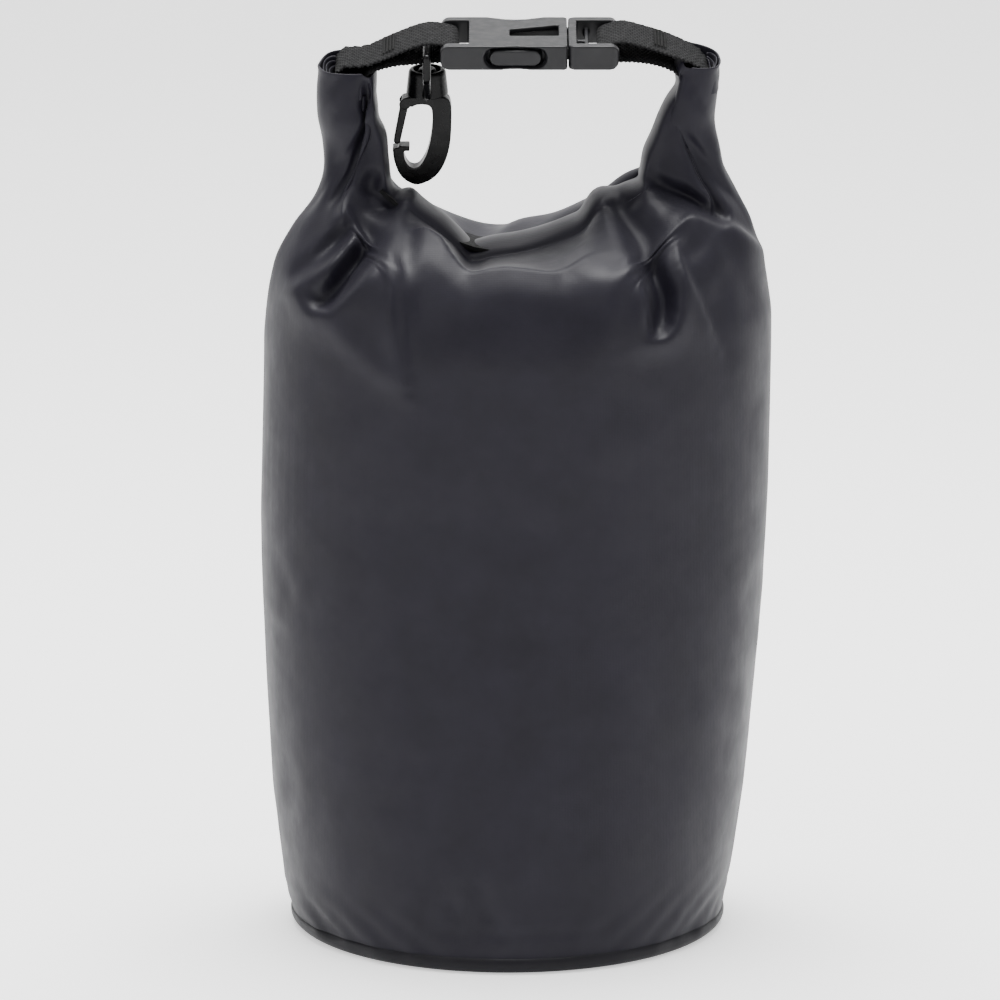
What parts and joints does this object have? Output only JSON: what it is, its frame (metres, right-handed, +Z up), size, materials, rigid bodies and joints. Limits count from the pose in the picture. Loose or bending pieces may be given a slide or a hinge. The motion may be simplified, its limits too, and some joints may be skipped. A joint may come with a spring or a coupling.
{
  "type": "roll-top dry bag",
  "caption": "Small roll-top dry bag standing on a round base, its rolled ends turned up and buckled into a carrying loop, with a swivel snap hook on the strap.",
  "frame": {"origin": "centre of the round base, on its underside", "axes": "+Z up from the base, +X to the bag's right along the roll, with the snap hook on the -X side, +Y to the back"},
  "size_m": [0.1507, 0.127, 0.2702],
  "materials": {
    "fabric": "satin coated black nylon",
    "base_fabric": "satin coated black nylon",
    "tape": "semi-clear sealing tape",
    "webbing": "matt woven webbing",
    "thread": "black sewing thread",
    "buckle_plastic": "fine satin moulded plastic",
    "hook_plastic": "smooth black moulded plastic"
  },
  "bodies": {
    "bag": {"body_shell": "fabric", "base_panel": "base_fabric", "base_seam_tape": "tape", "side_seam_tape": "tape", "rolled_mouth": "fabric", "rolled_left_end": "fabric", "rim_webbing": "webbing", "strap_left": "webbing", "bar_tack_left": "thread", "buckle_socket": "buckle_plastic"},
    "right_end": {"rolled_right_end": "fabric", "strap_right": "webbing", "bar_tack_right": "thread", "buckle_plug": "buckle_plastic"},
    "arm_front": {"release_arm_front": "buckle_plastic"},
    "arm_back": {"release_arm_back": "buckle_plastic"},
    "eye": {"hook_eye": "hook_plastic"},
    "hook": {"hook_body": "hook_plastic"},
    "gate": {"hook_gate": "hook_plastic"}
  },
  "joints": [
    {"name": "buckle_pull", "type": "slide", "parent": "bag", "child": "right_end", "axis": [1, 0, 0], "range_m": [0, 0.028], "deforming": ["release_arm_front", "release_arm_back"]},
    {"name": "squeeze_front", "type": "hinge", "parent": "right_end", "child": "arm_front", "pos_m": [0.016, -0.00867, 0.26277], "axis": [0, -0.1736, 0.9848], "range_deg": [-7, 0], "stiffness_Nm_per_rad": 0.05},
    {"name": "squeeze_back", "type": "hinge", "parent": "right_end", "child": "arm_back", "pos_m": [0.016, 0.00867, 0.26583], "axis": [0, -0.1736, 0.9848], "range_deg": [0, 7], "stiffness_Nm_per_rad": 0.05},
    {"name": "hook_swing", "type": "hinge", "parent": "bag", "child": "eye", "pos_m": [-0.0237, 0.0001, 0.26371], "axis": [0, 0.9848, 0.1736], "range_deg": [-20, 2]},
    {"name": "hook_swivel", "type": "hinge", "parent": "eye", "child": "hook", "pos_m": [-0.0237, 0.00219, 0.25189], "axis": [0, -0.1736, 0.9848], "continuous": true},
    {"name": "gate_open", "type": "hinge", "parent": "hook", "child": "gate", "pos_m": [-0.0303, 0.00316, 0.24638], "axis": [0, 0.9848, 0.1736], "range_deg": [-25, 0], "stiffness_Nm_per_rad": 0.02, "springref_deg": 5.73}
  ]
}
